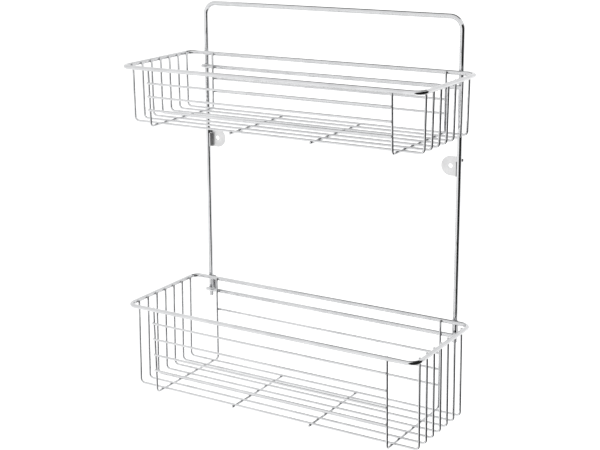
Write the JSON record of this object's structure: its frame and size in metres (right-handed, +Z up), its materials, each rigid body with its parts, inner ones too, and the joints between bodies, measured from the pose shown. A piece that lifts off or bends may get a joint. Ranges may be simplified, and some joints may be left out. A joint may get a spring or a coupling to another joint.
{
  "type": "shower caddy",
  "caption": "Wall-mounted chrome wire shower caddy: a bent back frame carries a shallow upper basket and a deep lower basket, and hangs on screw tabs.",
  "frame": {"origin": "midway between the two screw holes, on the wall plane", "axes": "+X to the right for a person facing the wall, +Y into the wall, +Z up"},
  "size_m": [0.405, 0.1604, 0.4826],
  "materials": {
    "chrome_wire": "bright chrome plate on drawn steel wire",
    "plated_sheet": "satin plated steel sheet"
  },
  "bodies": {
    "root": {"back_frame": "chrome_wire", "left_wall_tab": "plated_sheet", "lower_back_rail_1": "chrome_wire", "lower_back_rail_2": "chrome_wire", "lower_back_rail_3": "chrome_wire", "lower_cross_wire_left": "chrome_wire", "lower_cross_wire_right": "chrome_wire", "lower_floor_bar_left": "chrome_wire", "lower_floor_bar_right": "chrome_wire", "lower_front_rail_1": "chrome_wire", "lower_front_rail_2": "chrome_wire", "lower_front_rail_3": "chrome_wire", "lower_front_rail_4": "chrome_wire", "lower_left_spacer_plate": "plated_sheet", "lower_long_wire_1": "chrome_wire", "lower_long_wire_2": "chrome_wire", "lower_long_wire_3": "chrome_wire", "lower_long_wire_4": "chrome_wire", "lower_long_wire_5": "chrome_wire", "lower_long_wire_6": "chrome_wire", "lower_long_wire_7": "chrome_wire", "lower_right_spacer_plate": "plated_sheet", "lower_rim": "chrome_wire", "lower_tie_bar": "chrome_wire", "right_wall_tab": "plated_sheet", "upper_back_rail_1": "chrome_wire", "upper_back_rail_2": "chrome_wire", "upper_cross_wire_left": "chrome_wire", "upper_cross_wire_right": "chrome_wire", "upper_floor_bar_left": "chrome_wire", "upper_floor_bar_right": "chrome_wire", "upper_front_rail_1": "chrome_wire", "upper_front_rail_2": "chrome_wire", "upper_front_rail_3": "chrome_wire", "upper_long_wire_1": "chrome_wire", "upper_long_wire_2": "chrome_wire", "upper_long_wire_3": "chrome_wire", "upper_long_wire_4": "chrome_wire", "upper_long_wire_5": "chrome_wire", "upper_long_wire_6": "chrome_wire", "upper_long_wire_7": "chrome_wire", "upper_rim": "chrome_wire", "upper_tie_bar": "chrome_wire"}
  },
  "joints": []
}
